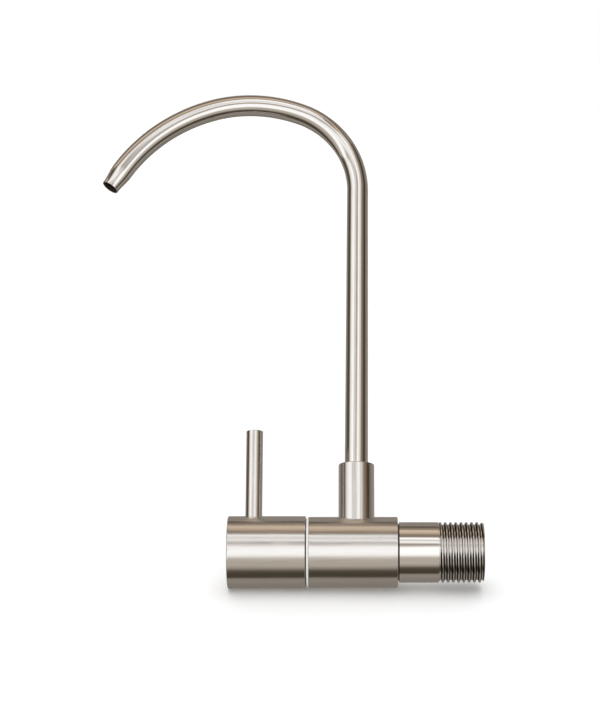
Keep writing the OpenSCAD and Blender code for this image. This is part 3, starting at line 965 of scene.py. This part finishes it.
# The floor's and the ceiling's panels run level in the middle and slant away at both sides of it
eye_z = 0.36
middle_x = -0.05
level_half_w = 0.08
slant_softness = 0.015
slant_limit = 1.4
slant_right = radians(26)
slant_right_under = radians(10)
slant_left = radians(20)
to_front = worked(tree, "MULTIPLY", axes["Y"], -1)
over_eye = worked(tree, "SUBTRACT", axes["Z"], eye_z)
off_middle = worked(tree, "SUBTRACT", axes["X"], middle_x)
from_middle = worked(tree, "ABSOLUTE", off_middle)
past_level = worked(tree, "MAXIMUM", worked(tree, "SUBTRACT", from_middle, level_half_w), 0)
side = worked(tree, "MULTIPLY", worked(tree, "SIGN", off_middle), past_level)
spread = worked(tree, "ADD", worked(tree, "POWER", worked(tree, "ABSOLUTE", over_eye), 2), slant_softness)
widened = worked(tree, "DIVIDE", worked(tree, "MULTIPLY", side, side), spread)
drawn = worked(tree, "SQRT", worked(tree, "ADD", widened, 1))
height = worked(tree, "ADD", worked(tree, "MULTIPLY", over_eye, drawn), eye_z)
slant = worked(tree, "DIVIDE", worked(tree, "MULTIPLY", side, over_eye), spread)
to_right = worked(tree, "MINIMUM", worked(tree, "MAXIMUM", slant, 0), slant_limit)
to_left = worked(tree, "MAXIMUM", worked(tree, "MINIMUM", slant, 0), -slant_limit)
under = worked(tree, "LESS_THAN", over_eye, 0)
right_by = worked(tree, "ADD", worked(tree, "MULTIPLY", under, slant_right_under), slant_right)
shift_right = worked(tree, "MULTIPLY", to_right, right_by)
shift_left = worked(tree, "MULTIPLY", to_left, slant_left)
shift = worked(tree, "ADD", shift_right, shift_left)
elevation = worked(tree, "ADD", worked(tree, "ARCTAN2", height, to_front), shift)
azimuth = worked(tree, "ARCTAN2", axes["X"], to_front)

WHITE = shown(254, 252, 249)
BRIGHT = shown(242, 238, 233)
GREY = shown(171, 162, 150)
LOW_GREY = shown(143, 136, 128)
SHADE = shown(130, 121, 112)
BROWN = shown(116, 103, 89)
DEEP = shown(66, 59, 50)
FLOOR_AND_CEILING = [
    (-180, shown(118, 112, 104)), (-140, shown(122, 116, 108)), (-112, shown(136, 128, 118)),
    (-102, shown(126, 118, 108)), (-97, DEEP), (-80, shown(70, 64, 54)), (-71, shown(88, 79, 70)),
    (-62, shown(146, 136, 125)), (-54, GREY), (-34, GREY), (-27, shown(198, 190, 181)), (-21, BRIGHT),
    (-13, WHITE), (7, WHITE), (12, shown(202, 194, 187)), (16, shown(164, 155, 146)),
    (20, shown(144, 134, 125)), (23, shown(170, 161, 152)), (28, BRIGHT), (32, BRIGHT),
    (36, shown(200, 193, 187)), (40, shown(222, 216, 211)), (43, WHITE), (47, WHITE),
    (50, shown(138, 126, 114)), (60, shown(126, 110, 94)), (67, shown(176, 156, 136)),
    (80, shown(204, 183, 160)), (88, shown(138, 123, 106)), (97, BROWN), (104, shown(80, 71, 60)),
    (111, SHADE),
]
ALL_ROUND = [
    (-180, LOW_GREY), (-132, LOW_GREY), (-118, shown(106, 98, 88)), (-103, shown(70, 64, 55)),
    (-88, shown(84, 76, 67)), (-79, shown(98, 90, 80)), (-73, shown(184, 176, 167)),
    (-64, shown(226, 220, 213)), (-52, BRIGHT), (-38, WHITE), (-31, BRIGHT), (-26, shown(184, 176, 169)),
    (-20, shown(228, 222, 216)), (-13, shown(186, 178, 171)), (-8, shown(136, 128, 120)),
    (-2, shown(208, 202, 195)), (6, BRIGHT), (18, WHITE), (27, shown(200, 193, 186)),
    (33, shown(230, 223, 215)), (40, GREY), (47, shown(142, 126, 111)), (60, BROWN),
    (70, shown(94, 82, 68)), (78, shown(58, 51, 42)), (87, shown(60, 53, 44)), (95, shown(106, 97, 87)),
    (112, SHADE), (145, LOW_GREY),
]
floor_and_ceiling = ramp(tree, elevation, FLOOR_AND_CEILING)
all_round = ramp(tree, azimuth, ALL_ROUND)

# The panels at the sides start past the middle, and further out the higher or lower they are
side_z = 0.28
side_half_height = 0.14
side_slope = 2
SIDE_START = (0.12, 0.22)
off_side = worked(tree, "ABSOLUTE", worked(tree, "SUBTRACT", axes["Z"], side_z))
off_level = worked(tree, "SUBTRACT", off_side, side_half_height)
edge = worked(tree, "MULTIPLY", worked(tree, "MAXIMUM", off_level, 0), side_slope)
sideways = mapped(tree, worked(tree, "SUBTRACT", from_middle, edge), *SIDE_START)
studio = fed(tree, "ShaderNodeMix", (sideways,), data_type="RGBA")
for socket, source in (("A", floor_and_ceiling), ("B", all_round)):
    target = [s for s in studio.inputs if s.name == socket and s.type == "RGBA"][0]
    links.new(source, target)
mirrored = fed(tree, "ShaderNodeBackground", ([s for s in studio.outputs if s.type == "RGBA"][0],))

# What isn't mirrored is lit by plain white, and the camera sees that too
light_strength = 1.74
rays = nodes.new("ShaderNodeLightPath").outputs
between_sides = worked(tree, "SUBTRACT", 1, worked(tree, "ABSOLUTE", axes["X"]))
unseen = worked(tree, "SUBTRACT", 1, rays["Is Camera Ray"])
lighting = worked(tree, "MULTIPLY", worked(tree, "MULTIPLY", between_sides, light_strength), unseen)
strength = worked(tree, "ADD", lighting, rays["Is Camera Ray"])
plain = fed(tree, "ShaderNodeBackground", ((1, 1, 1, 1), strength))
glossy_or_plain = fed(
    tree, "ShaderNodeMixShader", (rays["Is Glossy Ray"], plain.outputs[0], mirrored.outputs[0])
)
world_out = nodes.new("ShaderNodeOutputWorld")
links.new(glossy_or_plain.outputs[0], world_out.inputs["Surface"])


# Camera and view

scene = bpy.context.scene
scene.view_settings.view_transform = "Standard"
pitch = radians(15.7)
camera_data = bpy.data.cameras.new("camera")
camera = bpy.data.objects.new("camera", camera_data)
scene.collection.objects.link(camera)
camera.location = (-0.03267, -0.7184, -0.1306)
camera.rotation_euler = (pi / 2 + pitch, 0, 0)
camera_data.lens = 106.78
camera_data.sensor_width = 36
camera_data.shift_x = -0.0636
camera_data.clip_start = 0.01
scene.camera = camera
